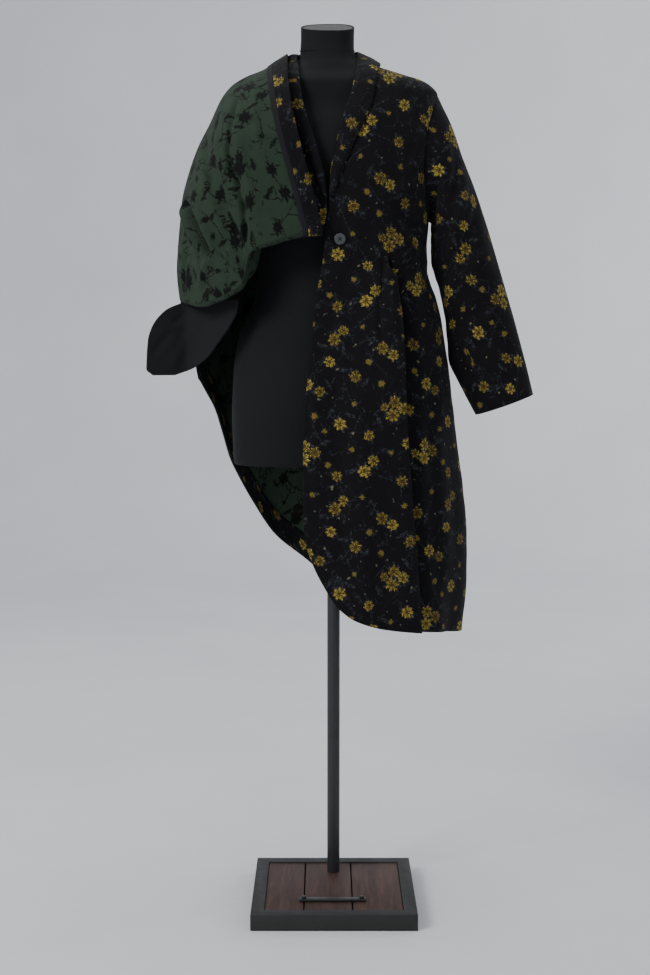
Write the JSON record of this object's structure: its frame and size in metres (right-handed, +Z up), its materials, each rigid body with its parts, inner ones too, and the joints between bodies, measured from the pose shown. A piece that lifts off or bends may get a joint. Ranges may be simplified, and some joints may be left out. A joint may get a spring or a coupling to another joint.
{
  "type": "coat on dress form stand",
  "caption": "Long flowered coat on a limbless dress form stand, one front buttoned and the other thrown up over the shoulder to show its reverse.",
  "frame": {"origin": "on the floor under the pole's axis, at the base tray's flat underside", "axes": "+Z up along the pole, +X to the wearer's left, -Y the front"},
  "size_m": [0.7184, 0.4714, 1.6397],
  "materials": {
    "flowered_jacquard": "black jacquard with mustard flowers, green on its reverse",
    "pocket_cotton": "plain charcoal cotton",
    "button_grey": "grey polished",
    "form_cloth": "charcoal cloth drawn over the form",
    "pole_steel": "satin dark grey",
    "base_steel": "dark grey green, slightly worn",
    "dark_planks": "dark reddish brown stained boards"
  },
  "bodies": {
    "root": {"back": "flowered_jacquard", "left_front": "flowered_jacquard", "right_front": "flowered_jacquard", "left_sleeve": "flowered_jacquard", "right_sleeve": "flowered_jacquard", "collar": "flowered_jacquard", "front_facing": "flowered_jacquard", "back_hem_facing": "flowered_jacquard", "pocket_bag": "pocket_cotton", "button": "button_grey", "dress_form": "form_cloth", "neck_cap": "pole_steel", "pole": "pole_steel", "base_tray": "base_steel", "plank_left": "dark_planks", "plank_middle": "dark_planks", "plank_right": "dark_planks", "foot_bar": "pole_steel", "bolt_left": "pole_steel", "bolt_right": "pole_steel"}
  },
  "joints": []
}
